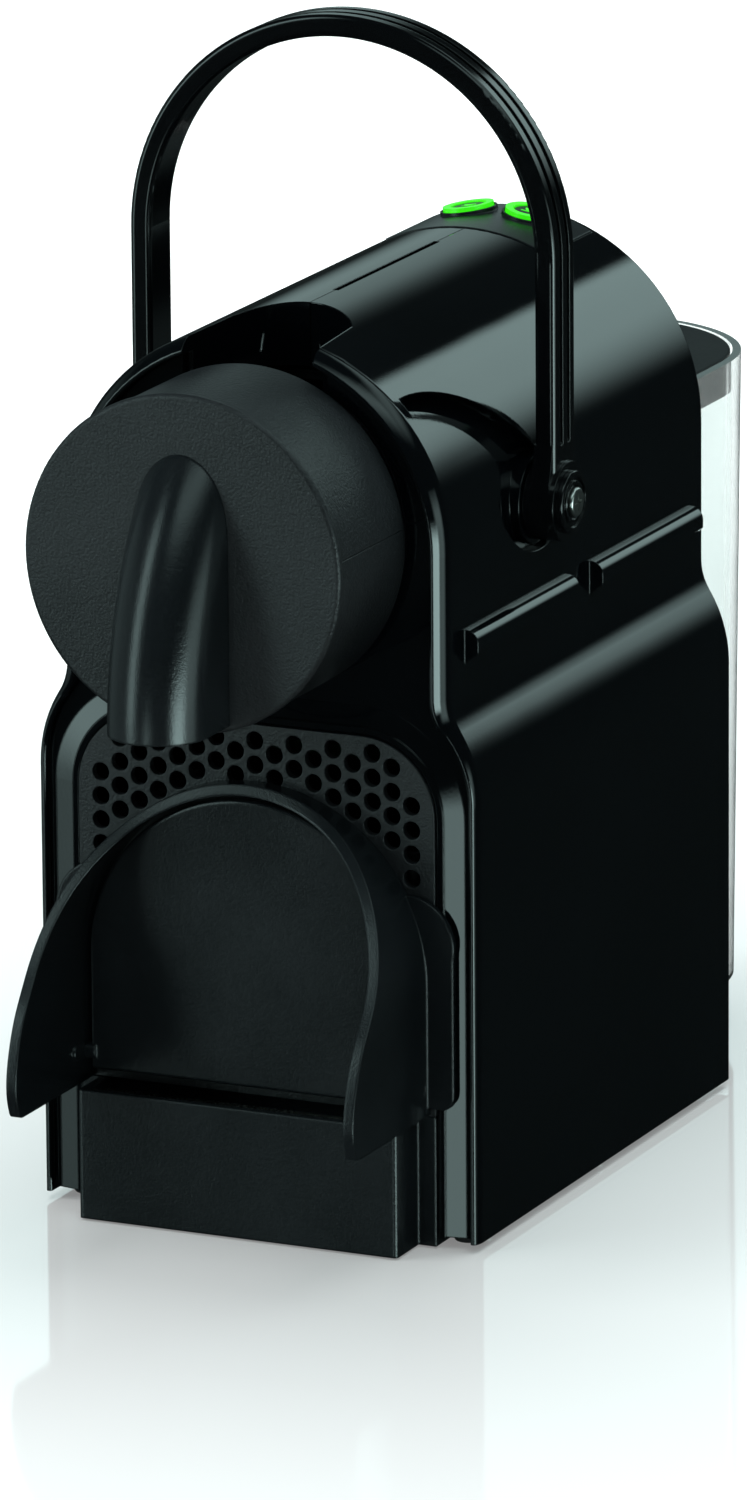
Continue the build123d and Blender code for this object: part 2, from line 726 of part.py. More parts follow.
grille_thick = 2.2
grille_low = tray_top + 0.2
hole_r = 2.3
column_pitch = 5.21
row_pitch = 6.06
lattice_top = 123.2
hole_margin = 3.9
arch_clear = 0.4


def grille_holes():
    """Centres of the staggered round holes between the opening's edge and the cowl."""
    centres = []
    corner_x = opening_half - opening_corner
    corner_z = opening_top - opening_corner
    for column in range(-8, 9):
        x = column * column_pitch
        for row in range(12):
            z = lattice_top - row * row_pitch - (column % 2) * row_pitch / 2
            outside_x = max(abs(x) - corner_x, 0)
            outside_z = max(z - corner_z, 0)
            in_corner = outside_x ** 2 + outside_z ** 2 <= (opening_corner - hole_margin) ** 2
            above_cowl = x ** 2 + max(z - cowl_z, 0) ** 2 >= (cowl_r + arch_clear) ** 2
            if in_corner and above_cowl:
                centres.append((x, z))
    return centres


with BuildPart() as grille_panel:
    extrude(
        opening_outline(grille_depth, opening_half - 0.4, opening_top - 0.4, opening_corner - 0.4, grille_low),
        amount=-grille_thick,
    )
    with BuildSketch(front_view(grille_depth - 1)) as hole_pattern:
        with Locations(grille_holes()):
            Circle(hole_r)
    extrude(hole_pattern.sketch, amount=-grille_thick - 2, mode=Mode.SUBTRACT)
grille_panel.part.label = "grille_panel"
export_step(grille_panel.part, "parts/grille_panel.step")

cowl_low = 34.0
flange_half = 53.2
pin_r = 2.0


def arch_shape(depth, radius, low):
    """Front outline of an upright slab with a round top about the cowl's centre."""
    with BuildSketch(front_view(depth)) as shape:
        with Locations((0, cowl_z)):
            Circle(radius)
        with Locations((0, (cowl_z + low) / 2)):
            Rectangle(2 * radius, cowl_z - low)
        with Locations((0, low - 50)):
            Rectangle(400, 100, mode=Mode.SUBTRACT)
    return shape.sketch


with BuildPart() as cowl:
    extrude(arch_shape(-44, cowl_r, cowl_low), amount=-(44 + grille_depth))
    with BuildSketch(front_view(1.6)) as flange_outline:
        with BuildLine():
            foot_line = Line((0, 36), (flange_half - 3, 36))
            heel = ThreePointArc(foot_line @ 1, (flange_half - 0.9, 36.9), (flange_half, 39))
            upright = Line(heel @ 1, (flange_half, 74))
            brow = ThreePointArc(upright @ 1, (flange_half - 1.6, 83), (cowl_r - 4, 89))
            Line(brow @ 1, (0, 89))
            Line((0, 89), foot_line @ 0)
        make_face()
        mirror(about=Plane.YZ)
    extrude(flange_outline.sketch, amount=-(grille_depth - 1.6))
    extrude(arch_shape(-60, cowl_r - cowl_wall, cowl_low - 10), amount=-80, mode=Mode.SUBTRACT)
    with BuildSketch(side_view(-60)) as rim_outline:
        with BuildLine():
            rim = Spline(
                (-0.6, 114), (-5.0, 105.4), (-12.0, 95.4), (-18.6, 85.6), (-24.4, 76.2),
                (-30.6, 67.0), (-36.4, 58.8), (-40.2, 50.0), (-41.6, 42.4), (-40.4, 36.0),
            )
            toe = ThreePointArc(rim @ 1, (-39.6, 34.6), (-38.0, 34.0))
            Polyline(toe @ 1, (-38, 20), (-60, 20), (-60, 125), (-0.6, 125), rim @ 0)
        make_face()
    extrude(rim_outline.sketch, amount=120, mode=Mode.SUBTRACT)
    for side_sign in (-1, 1):
        inner_face = cowl_r - cowl_wall
        stop = sorted((side_sign * (inner_face - 0.8), side_sign * (cowl_r - 1)))
        rod_x(-8.5, 42.5, 2.0, stop[0], stop[1])
    rod_x(-1.5, hinge_z, pin_r + 0.05, -60, 60, mode=Mode.SUBTRACT)
cowl.part.label = "cowl"
export_step(cowl.part, "parts/cowl.step")

platform_half = 42.5
platform_low = 37.0
hinge_at = -1.5

with BuildPart() as cup_platform:
    extrude(arch_shape(hinge_at - 0.9, platform_half, platform_low), amount=-2.8)
    fillet(cup_platform.edges().group_by(Axis.Y)[0], 0.8)
    rod_x(hinge_at, hinge_z, pin_r, platform_half - 1.5, cowl_r - 0.3)
    rod_x(hinge_at, hinge_z, pin_r, 0.3 - cowl_r, 1.5 - platform_half)
cup_platform.part.label = "cup_platform"
export_step(cup_platform.part, "parts/cup_platform.step")

with BuildPart() as capsule_container:
    block(-42.6, 42.6, 8, 84, 13, 98)
    fillet(capsule_container.edges().filter_by(Axis.Z), 4)
    block(-40.8, 40.8, 9.8, 82.2, 14.8, 110, mode=Mode.SUBTRACT)
capsule_container.part.label = "capsule_container"
export_step(capsule_container.part, "parts/capsule_container.step")

# ---------------------------------------------------------------- base, rear cover, feet

plate_low = 3.0
plate_high = 6.0
rail_in = 48.8
inside_half = base_half - wall - 0.2
dock_r = 35.0
foot_spots = ((-51.6, 14, 3.6), (51.6, 14, 3.6), (-38, 140, 7), (38, 140, 7), (0, 224, 7))
shell_screw_spots = [(sign * x, depth) for sign in (-1, 1) for x, depth in post_spots]

with BuildPart() as base_plate:
    block(-inside_half, inside_half, 9, 154.6, plate_low, plate_high)
    block(-rail_in, rail_in, 0, 100, 0, 10, mode=Mode.SUBTRACT)
    block(-dock_r, dock_r, 153, tank_centre, plate_low, plate_high)
    rod_z(0, tank_centre, dock_r, plate_low, plate_high)
    for screw_x, screw_depth in shell_screw_spots:
        rod_z(screw_x, screw_depth, screw_r + 0.2, 0, 10, mode=Mode.SUBTRACT)
base_plate.part.label = "base_plate"
export_step(base_plate.part, "parts/base_plate.step")

with BuildPart() as feet:
    for foot_x, foot_depth, foot_r in foot_spots:
        rod_z(foot_x, foot_depth, foot_r, 0, plate_low)
    fillet(feet.edges().group_by(Axis.Z)[0], 0.6)
feet.part.label = "feet"
export_step(feet.part, "parts/feet.step")

with BuildPart() as shell_screws:
    for screw_x, screw_depth in shell_screw_spots:
        rod_z(screw_x, screw_depth, screw_r - 0.02, plate_low, 17)
        rod_z(screw_x, screw_depth, 2.7, plate_low - 1.6, plate_low)
shell_screws.part.label = "shell_screws"
export_step(shell_screws.part, "parts/shell_screws.step")

cover_depth = 156.5
cover_thick = 2.4
gland_x = 49.0
gland_z = 20.0
inlet_depth = 190.0

with BuildPart() as rear_cover:
    extrude(half_outline(cover_depth, inside_half, barrel_r - wall - 0.2, plate_high + 0.1), amount=-cover_thick)
    mirror(about=Plane.YZ)
    block(-20, 20, cover_depth - 1, cover_depth + 1.2, 212, 230, mode=Mode.SUBTRACT)
    rod_y(gland_x, gland_z, 5.05, 140, 170, mode=Mode.SUBTRACT)
    rod_y(-20, 10, 3.4, 140, 170, mode=Mode.SUBTRACT)
    for row in range(9):
        vent_z = 120 + 6 * row
        block(-24, 24, 150, 160, vent_z, vent_z + 2.2, mode=Mode.SUBTRACT)
rear_cover.part.label = "rear_cover"
export_step(rear_cover.part, "parts/rear_cover.step")

with BuildPart() as cord_gland:
    rod_y(gland_x, gland_z, 5.0, cover_depth - 2, cover_depth + cover_thick)
    rod_y(gland_x, gland_z, 6.6, cover_depth + cover_thick, cover_depth + cover_thick + 2.4)
    rod_y(gland_x, gland_z, 6.6, cover_depth - 2.6, cover_depth)
    rod_y(gland_x, gland_z, 3.5, 140, 170, mode=Mode.SUBTRACT)
cord_gland.part.label = "cord_gland"
export_step(cord_gland.part, "parts/cord_gland.step")

dock_top = tank_low - 0.2

with BuildPart() as tank_dock:
    block(-dock_r + 1.5, dock_r - 1.5, tank_front, tank_centre, plate_high, dock_top)
    rod_z(0, tank_centre, dock_r - 1.5, plate_high, dock_top)
    rod_z(0, inlet_depth, 9, plate_high + 2, 20, mode=Mode.SUBTRACT)
    rod_z(0, inlet_depth, 1.6, plate_high + 1, dock_top - 1.2)
tank_dock.part.label = "tank_dock"
export_step(tank_dock.part, "parts/tank_dock.step")

# ---------------------------------------------------------------- water tank

tank_foot_r = 39.6
lid_gap = 0.4
lid_plate = 2.0
lid_skirt = 9.0
valve_r = 5.0


def tank_outline(height, radius, near):
    """Top outline of the tank: flat towards the body, half round at the back."""
    with BuildSketch(top_view(height)) as outline:
        with Locations((0, tank_centre)):
            Circle(radius)
        with Locations((0, (near + tank_centre) / 2)):
            Rectangle(2 * radius, tank_centre - near)
        with Locations((0, near - 50)):
            Rectangle(400, 100, mode=Mode.SUBTRACT)
        fillet(outline.vertices().group_by(Axis.Y)[0], 4)
    return outline.sketch


with BuildPart() as water_tank:
    loft([tank_outline(tank_low, tank_foot_r, tank_front), tank_outline(tank_high, tank_r, tank_front)])
    loft(
        [
            tank_outline(tank_low + 2.4, tank_foot_r - tank_wall, tank_front + tank_wall),
            tank_outline(tank_high, tank_r - tank_wall, tank_front + tank_wall),
        ],
        mode=Mode.SUBTRACT,
    )
    rod_z(0, inlet_depth, valve_r, tank_low - 1, tank_low + 6, mode=Mode.SUBTRACT)
water_tank.part.label = "water_tank"
export_step(water_tank.part, "parts/water_tank.step")

with BuildPart() as tank_lid:
    lid_r = tank_r - tank_wall - lid_gap
    lid_near = tank_front + tank_wall + lid_gap
    extrude(tank_outline(tank_high - lid_skirt, lid_r - 0.2, lid_near + 0.2), amount=lid_skirt)
    fillet(tank_lid.edges().group_by(Axis.Z)[-1], 0.6)
    extrude(
        tank_outline(tank_high - lid_skirt - 1, lid_r - 2, lid_near + 2),
        amount=lid_skirt + 1 - lid_plate,
        mode=Mode.SUBTRACT,
    )
    block(-7, 7, tank_centre + 31, tank_centre + 45, tank_high - 0.9, tank_high + 2, mode=Mode.SUBTRACT)
tank_lid.part.label = "tank_lid"
export_step(tank_lid.part, "parts/tank_lid.step")

with BuildPart() as valve_seat:
    rod_z(0, inlet_depth, valve_r - 0.02, tank_low, tank_low + 2.4)
    rod_z(0, inlet_depth, valve_r + 2, tank_low + 2.4, tank_low + 5)
    rod_z(0, inlet_depth, 2.6, tank_low - 1, tank_low + 8, mode=Mode.SUBTRACT)
valve_seat.part.label = "valve_seat"
export_step(valve_seat.part, "parts/valve_seat.step")

with BuildPart() as valve_plunger:
    rod_z(0, inlet_depth, 2.5, dock_top + 0.2, tank_low + 6)
    rod_z(0, inlet_depth, 4.6, tank_low + 6, tank_low + 7.6)
    rod_z(0, inlet_depth, 1.4, tank_low + 7.6, tank_low + 16)
valve_plunger.part.label = "valve_plunger"
export_step(valve_plunger.part, "parts/valve_plunger.step")

with BuildPart() as valve_seal:
    rod_z(0, inlet_depth, 4.4, tank_low + 5.1, tank_low + 6)
    rod_z(0, inlet_depth, 2.5, tank_low + 4, tank_low + 7, mode=Mode.SUBTRACT)
valve_seal.part.label = "valve_seal"
export_step(valve_seal.part, "parts/valve_seal.step")

spring_r = 3.0
spring_wire = 0.45

with BuildPart() as valve_spring:
    with BuildLine():
        coil = Helix(
            pitch=1.9, height=7.6, radius=spring_r,
            center=(0, front_y + inlet_depth, tank_low + 7.6 + spring_wire),
        )
    with BuildSketch(Plane(origin=coil @ 0, z_dir=coil % 0)):
        Circle(spring_wire)
    sweep(path=coil)
valve_spring.part.label = "valve_spring"
export_step(valve_spring.part, "parts/valve_spring.step")

with BuildPart() as valve_cage:
    spring_top = tank_low + 7.6 + 7.6 + 2 * spring_wire
    rod_z(0, inlet_depth, valve_r + 2, tank_low + 5, spring_top + 1.6)
    rod_z(0, inlet_depth, valve_r + 0.6, tank_low + 4, spring_top, mode=Mode.SUBTRACT)
    rod_z(0, inlet_depth, 1.7, spring_top - 1, spring_top + 3, mode=Mode.SUBTRACT)
    for turn in (0, 90):
        with BuildSketch(side_view(-20) if turn else front_view(inlet_depth - 20)) as window:
            with Locations((inlet_depth if turn else 0, tank_low + 10.5)):
                Rectangle(5, 6)
        extrude(window.sketch, amount=40 if turn else -40, mode=Mode.SUBTRACT)
valve_cage.part.label = "valve_cage"
export_step(valve_cage.part, "parts/valve_cage.step")

# ---------------------------------------------------------------- pump, heater and electronics

pump_depth = 127.0
pump_z = 46.0
port_x = 32.0
flow_depth = 134.0
flow_z = 90.0
heater_near = 121.0
heater_far = 147.0

with BuildPart() as pump:
    rod_x(pump_depth, pump_z, 12, -46, 46)
    block(-24, 24, pump_depth - 19, pump_depth + 19, pump_z - 20, pump_z + 20)
    fillet(pump.edges().filter_by(Axis.X).filter_by(lambda e: e.length > 40 and e.length < 60), 3)
    rod_z(port_x, pump_depth, 3, pump_z, pump_z + 18)
    rod_z(-port_x, flow_depth, 3, pump_z, pump_z + 16)
pump.part.label = "pump"
export_step(pump.part, "parts/pump.step")

with BuildPart() as pump_mounts:
    for side_sign in (-1, 1):
        ring = sorted((side_sign * 38, side_sign * 45))
        rod_x(pump_depth, pump_z, 17, ring[0], ring[1])
        block(ring[0], ring[1], pump_depth - 9, pump_depth + 9, plate_high, pump_z)
    rod_x(pump_depth, pump_z, 12, -60, 60, mode=Mode.SUBTRACT)
pump_mounts.part.label = "pump_mounts"
export_step(pump_mounts.part, "parts/pump_mounts.step")

with BuildPart() as thermoblock:
    block(-30, 30, heater_near, heater_far, 122, 164)
    fillet(thermoblock.edges().filter_by(Axis.Y), 5)
    rod_z(-20, 134, 3, 116, 122)
    rod_z(20, 134, 3, 164, 170)
    for rib_x in range(-20, 21, 8):
        block(rib_x - 1.2, rib_x + 1.2, heater_far, heater_far + 3, 128, 158)
thermoblock.part.label = "thermoblock"
export_step(thermoblock.part, "parts/thermoblock.step")

with BuildPart() as heater_straps:
    for strap_x in (-14, 14):
        block(strap_x - 3, strap_x + 3, bulkhead + 3, heater_near, 126, 132)
        block(strap_x - 3, strap_x + 3, bulkhead + 3, heater_near, 154, 160)
heater_straps.part.label = "heater_straps"
export_step(heater_straps.part, "parts/heater_straps.step")

with BuildPart() as circuit_board:
    block(-42, 42, 101, 102.6, 24, 96)
    for part_x, part_z, part_w, part_h, part_d in (
        (-26, 40, 18, 22, 3), (8, 34, 12, 12, 4), (26, 72, 16, 14, 4), (-8, 80, 22, 10, 3),
    ):
        block(part_x - part_w / 2, part_x + part_w / 2, 102.6, 102.6 + part_d,
              part_z - part_h / 2, part_z + part_h / 2)
circuit_board.part.label = "circuit_board"
export_step(circuit_board.part, "parts/circuit_board.step")

with BuildPart() as board_bracket:
    for side_sign in (-1, 1):
        foot = sorted((side_sign * 37, side_sign * 42))
        block(foot[0], foot[1], 102.6, 107, plate_high, 40)
board_bracket.part.label = "board_bracket"
export_step(board_bracket.part, "parts/board_bracket.step")

with BuildPart() as flow_meter:
    rod_z(-port_x, flow_depth, 9.5, flow_z - 7, flow_z + 7)
    rod_z(-port_x, flow_depth, 3, flow_z - 12, flow_z + 12)
flow_meter.part.label = "flow_meter"
export_step(flow_meter.part, "parts/flow_meter.step")

with BuildPart() as inlet_hose:
    rod_z(-port_x, flow_depth, 4.4, pump_z + 12, flow_z - 8)
    rod_z(-port_x, flow_depth, 3.02, pump_z + 10, flow_z - 7, mode=Mode.SUBTRACT)
inlet_hose.part.label = "inlet_hose"
export_step(inlet_hose.part, "parts/inlet_hose.step")


def hose(name, stations, radius):
    """Writes a round hose along straight runs joined by arcs, from (X, depth, height) stations."""
    points = [(x, front_y + depth, height) for x, depth, height in stations]
    with BuildPart() as tube:
        with BuildLine() as route:
            FilletPolyline(*points, radius=radius)
        path = route.wires()[0]
        with BuildSketch(Plane(origin=path @ 0, z_dir=path % 0)):
            Circle(hose_r)
        sweep(path=path)
    tube.part.label = name
    export_step(tube.part, "parts/" + name + ".step")


hose_r = 2.6
dock_port_x = -20.0
dock_port_z = 10.0
hose(
    "dock_hose",
    (
        (dock_port_x, tank_front - 0.2, dock_port_z), (dock_port_x, 149, dock_port_z),
        (-port_x, 149, dock_port_z + 12), (-port_x, 149, 112), (-port_x, flow_depth, 112),
        (-port_x, flow_depth, flow_z + 12.2),
    ),
    4,
)
hose(
    "pump_hose",
    ((port_x, pump_depth, pump_z + 18.2), (port_x, pump_depth, 101), (-20, 134, 101), (-20, 134, 115.8)),
    5,
)
hose(
    "brew_hose",
    (
        (20, 134, 170.2), (20, 134, 184), (0, 134, 184), (0, 134, head_z),
        (0, cage_far + 8.2, head_z),
    ),
    4,
)
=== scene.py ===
import bmesh
import bpy
import json
import math
from mathutils import Matrix, Vector


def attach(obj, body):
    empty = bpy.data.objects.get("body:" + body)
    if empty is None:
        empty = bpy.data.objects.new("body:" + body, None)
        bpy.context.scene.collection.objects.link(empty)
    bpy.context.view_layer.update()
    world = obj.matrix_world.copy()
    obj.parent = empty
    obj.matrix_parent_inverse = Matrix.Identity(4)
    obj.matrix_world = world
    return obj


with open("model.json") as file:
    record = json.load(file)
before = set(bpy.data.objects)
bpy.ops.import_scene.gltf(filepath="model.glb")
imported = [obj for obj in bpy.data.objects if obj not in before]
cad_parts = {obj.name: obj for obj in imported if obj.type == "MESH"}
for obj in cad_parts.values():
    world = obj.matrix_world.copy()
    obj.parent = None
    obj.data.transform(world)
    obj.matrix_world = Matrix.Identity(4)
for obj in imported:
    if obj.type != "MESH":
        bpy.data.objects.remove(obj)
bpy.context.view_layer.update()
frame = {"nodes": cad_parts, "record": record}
nodes = frame["nodes"]


# ---------------------------------------------------------------- material helpers
class Build:
    """A material's node tree, with short calls for what the finishes below share."""

    def __init__(self, name, **inputs):
        self.material = bpy.data.materials.new(name)
        self.material.use_nodes = True
        self.tree = self.material.node_tree
        self.shader = self.tree.nodes["Principled BSDF"]
        for key, value in inputs.items():
            self.shader.inputs[key.replace("_", " ")].default_value = value
        self.place = self.tree.nodes.new("ShaderNodeTexCoord").outputs["Object"]
        self.bumped = None  # the normal after the bumps laid so far

    def add(self, kind, **values):
        node = self.tree.nodes.new(kind)
        for key, value in values.items():
            if hasattr(node, key):
                setattr(node, key, value)
            else:
                node.inputs[key.replace("_", " ")].default_value = value
        return node

    def link(self, a, b):
        self.tree.links.new(a, b)

    def noise(self, scale, detail=3.0, rough=0.55, stretch=None):
        node = self.add("ShaderNodeTexNoise", Scale=scale, Detail=detail, Roughness=rough)
        source = self.place
        if stretch:
            mapping = self.add("ShaderNodeMapping")
            mapping.inputs["Scale"].default_value = stretch
            self.link(self.place, mapping.inputs["Vector"])
            source = mapping.outputs["Vector"]
        self.link(source, node.inputs["Vector"])
        return node.outputs["Fac"]

    def cells(self, scale):
        node = self.add("ShaderNodeTexVoronoi", Scale=scale)
        self.link(self.place, node.inputs["Vector"])
        return node.outputs["Distance"]

    def span(self, source, low, high, out_low, out_high):
        """Map low..high to out_low..out_high, clamped."""
        node = self.add("ShaderNodeMapRange", From_Min=low, From_Max=high, To_Min=out_low, To_Max=out_high)
        self.link(source, node.inputs["Value"])
        return node.outputs["Result"]

    def sum(self, a, b, share=1.0):
        """a plus a share of b."""
        node = self.add("ShaderNodeMath", operation="MULTIPLY_ADD")
        self.link(b, node.inputs[0])
        node.inputs[1].default_value = share
        self.link(a, node.inputs[2])
        return node.outputs[0]

    def tint(self, source, stops):
        """Colour ramp through (position, linear colour) stops."""
        ramp = self.add("ShaderNodeValToRGB")
        self.link(source, ramp.inputs["Fac"])
        band = ramp.color_ramp
        while len(band.elements) < len(stops):
            band.elements.new(0.5)
        for element, (at, colour) in zip(band.elements, stops):
            element.position = at
            element.color = (*colour, 1.0)
        return ramp.outputs["Color"]

    def bump(self, height, distance, strength=1.0):
        node = self.add("ShaderNodeBump", Strength=strength, Distance=distance)
        self.link(height, node.inputs["Height"])
        if self.bumped is not None:
            self.link(self.bumped, node.inputs["Normal"])
        self.bumped = node.outputs["Normal"]
        self.link(self.bumped, self.shader.inputs["Normal"])

    def soften(self, radius):
        """Round every sharp edge by this radius in the shading, so that it catches the light."""
        bevel = self.add("ShaderNodeBevel", samples=6, Radius=radius)
        self.bumped = bevel.outputs["Normal"]
        self.link(self.bumped, self.shader.inputs["Normal"])

    def edges(self, radius=0.0005):
        """How far a point is into a rounded edge, from 0 on the flats to 1 on the edge; the finishes
        colour edges paler with it, a painted edge highlight.
        """
        bevel = self.add("ShaderNodeBevel", samples=4, Radius=radius)
        geometry = self.add("ShaderNodeNewGeometry")
        product = self.add("ShaderNodeVectorMath", operation="DOT_PRODUCT")
        self.link(bevel.outputs["Normal"], product.inputs[0])
        self.link(geometry.outputs["Normal"], product.inputs[1])
        return self.span(product.outputs["Value"], 0.995, 0.86, 0.0, 1.0)

    def colour(self, output):
        self.link(output, self.shader.inputs["Base Color"])

    def roughness(self, output):
        self.link(output, self.shader.inputs["Roughness"])


def gloss(name, colour, rough):
    """Polished black moulding: faint moulding waviness, handling haze and fine dust scratches."""
    b = Build(name, IOR=1.5)
    b.soften(0.0004)
    haze = b.noise(14.0, 4.0)
    fine = b.noise(420.0, 2.0)
    mixed = b.sum(haze, fine, 0.35)
    lift = tuple(c * 1.7 + 0.0004 for c in colour)
    b.colour(b.tint(haze, ((0.25, colour), (0.85, lift))))
    b.roughness(b.span(mixed, 0.35, 1.0, rough * 0.75, rough * 1.5))
    b.bump(b.noise(26.0, 1.0), 0.00006)
    b.bump(b.noise(1500.0, 2.0), 0.000004)
    return b.material


def grained(name, colour, rough, cell, depth, edge_highlight_lift=1.8, round_edge=0.0005, sheen=0.5):
    """Spark-eroded grain: fine pits, uneven sheen, and edges coloured paler as a painted edge highlight.
    """
    b = Build(name, IOR=1.49, Specular_IOR_Level=sheen)
    b.soften(round_edge)
    pits = b.cells(cell)
    grain = b.noise(cell * 0.55, 3.0)
    height = b.sum(grain, pits, -0.6)
    cloud = b.noise(22.0, 3.0)
    # Painted highlight: the edge mask lifts the colour towards the pale stop, so edges look lit.
    mixed = b.sum(b.sum(cloud, grain, 0.5), b.edges(), 0.55)
    # How much paler the top stop is: it colours the painted edge highlight and the palest random grain.
    pale = tuple(c * edge_highlight_lift + 0.002 for c in colour)
    dark = tuple(c * 0.72 for c in colour)
    b.colour(b.tint(mixed, ((0.25, dark), (0.62, colour), (1.0, pale))))
    b.roughness(b.span(b.sum(cloud, grain, 0.8), 0.5, 1.3, rough * 0.86, rough * 1.16))
    b.bump(height, depth)
    return b.material


def metal(name, colour, rough, cell=900.0):
    """Bare metal: fine drawn streaks, a cloudy sheen and edges coloured brighter as a painted edge
    highlight.
    """
    b = Build(name, Metallic=1.0)
    streak = b.noise(cell, 3.0, stretch=(1.0, 1.0, 0.12))
    cloud = b.noise(60.0, 3.0)
    # Painted highlight: the edge mask brightens the colour along edges.
    mixed = b.sum(b.sum(cloud, streak, 0.4), b.edges(0.0003), 0.4)
    b.colour(b.tint(mixed, ((0.3, tuple(c * 0.75 for c in colour)), (0.9, colour))))
    b.roughness(b.span(b.sum(cloud, streak, 0.7), 0.4, 1.3, rough * 0.7, rough * 1.4))
    b.bump(streak, 0.00002)
    return b.material


def clear(name):
    """Clear moulded plastic with a slight haze and moulding waves."""
    b = Build(name, IOR=1.49, Transmission_Weight=1.0)
    haze = b.noise(18.0, 4.0)
    b.colour(b.tint(haze, ((0.3, (0.78, 0.82, 0.81)), (0.8, (0.86, 0.89, 0.88)))))
    b.roughness(b.span(haze, 0.3, 0.8, 0.02, 0.09))
    b.bump(b.noise(30.0, 1.0), 0.00008)
    return b.material


def lit_ring(name):
    """Translucent green plastic lit from behind."""
    b = Build(name, IOR=1.49)
    cloud = b.noise(240.0, 3.0)
    b.colour(b.tint(cloud, ((0.3, (0.03, 0.34, 0.01)), (0.8, (0.07, 0.50, 0.02)))))
    b.roughness(b.span(cloud, 0.3, 0.8, 0.2, 0.4))
    b.shader.inputs["Emission Color"].default_value = (0.03, 0.85, 0.002, 1.0)
    b.shader.inputs["Emission Strength"].default_value = 0.75
    b.bump(b.noise(900.0, 2.0), 0.00001)
    return b.material


FINISH = {
    "gloss_black": gloss("gloss_black_finish", (0.0006, 0.0010, 0.0014), 0.045),
    "lever_black": gloss("lever_black_finish", (0.0008, 0.0011, 0.0014), 0.10),
    "grain_black": grained("grain_black_finish", (0.0065, 0.0085, 0.0095), 0.44, 1500.0, 0.00012),
    "satin_black": grained(
        "satin_black_finish", (0.0035, 0.0050, 0.0058), 0.22, 2600.0, 0.00003, round_edge=0.0008
    ),
    "panel_black": grained("panel_black_finish", (0.0030, 0.0042, 0.0048), 0.30, 3000.0, 0.00002),
    "green_light": lit_ring("green_light_finish"),
    "clear_plastic": clear("clear_plastic_finish"),
    "steel": metal("steel_finish", (0.62, 0.62, 0.60), 0.28),
    "inner_grey": grained("inner_grey_finish", (0.05, 0.052, 0.055), 0.5, 2400.0, 0.00004),
    "soft_rubber": grained("soft_rubber_finish", (0.015, 0.015, 0.016), 0.7, 1800.0, 0.00005),
    "hose_silicone": grained("hose_silicone_finish", (0.62, 0.62, 0.58), 0.45, 900.0, 0.00003, 1.05),
    "pump_metal": metal("pump_metal_finish", (0.20, 0.20, 0.21), 0.42),
    "cast_aluminium": metal("cast_aluminium_finish", (0.60, 0.61, 0.62), 0.45, 500.0),
    "board_green": grained("board_green_finish", (0.02, 0.12, 0.05), 0.4, 1500.0, 0.00002),
}
LID_FINISH = grained("lid_black_finish", (0.0030, 0.0042, 0.0048), 0.5, 2600.0, 0.00003, sheen=0.16)

for part in frame["record"]["subparts"]:
    mesh = nodes[part["node"]].data
    mesh.materials.clear()
    mesh.materials.append(LID_FINISH if part["node"] == "tank_lid" else FINISH[part["material_slot"]])

# ---------------------------------------------------------------- marks on the buttons
BUTTON_LEAN = math.radians(9.17)
MARK_RISE = 0.00012
FLAT = 0.00002  # points this close to the highest one belong to the cap's top face


def arc(across, up, wide, high, start, stop, steps=18):
    """Points along an ellipse's arc, angles in degrees."""
    turns = [math.radians(start + (stop - start) * i / steps) for i in range(steps + 1)]
    return [(across + wide * math.cos(t), up + high * math.sin(t)) for t in turns]


def cup_outlines(half, deep):
    """A plain cup seen from the side: bowl, handle and saucer, in metres."""
    bowl = arc(0.0, 0.0, half, deep, 180, 360)
    handle = arc(half, -deep * 0.36, deep * 0.46, deep * 0.40, -80, 80)
    handle += arc(half, -deep * 0.36, deep * 0.26, deep * 0.20, 80, -80)
    low = -deep * 1.22
    saucer = arc(half * 1.1, low, deep * 0.09, deep * 0.09, -90, 90, 6)
    saucer += arc(-half * 1.1, low, deep * 0.09, deep * 0.09, 90, 270, 6)
    return bowl, handle, saucer


def cup_mark(name, node, body, lean, half, deep):
    """Raised cup mark on a button's cap, standing on the plane of the cap's highest face."""
    normal = Vector((math.sin(lean), 0.0, math.cos(lean)))
    points = [v.co for v in nodes[node].data.vertices]
    top = max(p.dot(normal) for p in points)
    rim = [p for p in points if p.dot(normal) > top - FLAT]
    centre = sum(rim, Vector()) / len(rim)
    along = Vector((0.0, 1.0, 0.0))
    across = along.cross(normal)
    shape = bmesh.new()
    for outline in cup_outlines(half, deep):
        ring = [shape.verts.new(centre + across * u + along * (v + deep * 0.6)) for u, v in outline]
        face = shape.faces.new(ring)
        if face.normal.dot(normal) < 0:
            face.normal_flip()
        lifted = bmesh.ops.extrude_face_region(shape, geom=[face])
        raised = [item for item in lifted["geom"] if isinstance(item, bmesh.types.BMVert)]
        bmesh.ops.translate(shape, verts=raised, vec=normal * MARK_RISE)
    bmesh.ops.recalc_face_normals(shape, faces=shape.faces)
    mesh = bpy.data.meshes.new(name)
    shape.to_mesh(mesh)
    shape.free()
    mark = bpy.data.objects.new(name, mesh)
    bpy.context.scene.collection.objects.link(mark)
    mesh.materials.append(FINISH["green_light"])
    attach(mark, body)


cup_mark("small_cup_mark", "button_left", "left_button", -BUTTON_LEAN, 0.0014, 0.0014)
cup_mark("large_cup_mark", "button_right", "right_button", BUTTON_LEAN, 0.0019, 0.0021)

# ---------------------------------------------------------------- studio
AIM = Vector((0, 0, 0.13))
FLOOR_HALF = 8.0
FLOOR_GLOW = 0.5
FOOTPRINT = (0.055, 0.135, 0.0)  # half of the rectangle the machine stands on
SHEEN_SHARE = 0.57
SHEEN_REACH = 0.60
SKY_BASE = 0.02
SKY_TINT = (0.72, 1.0, 0.985, 1.0)


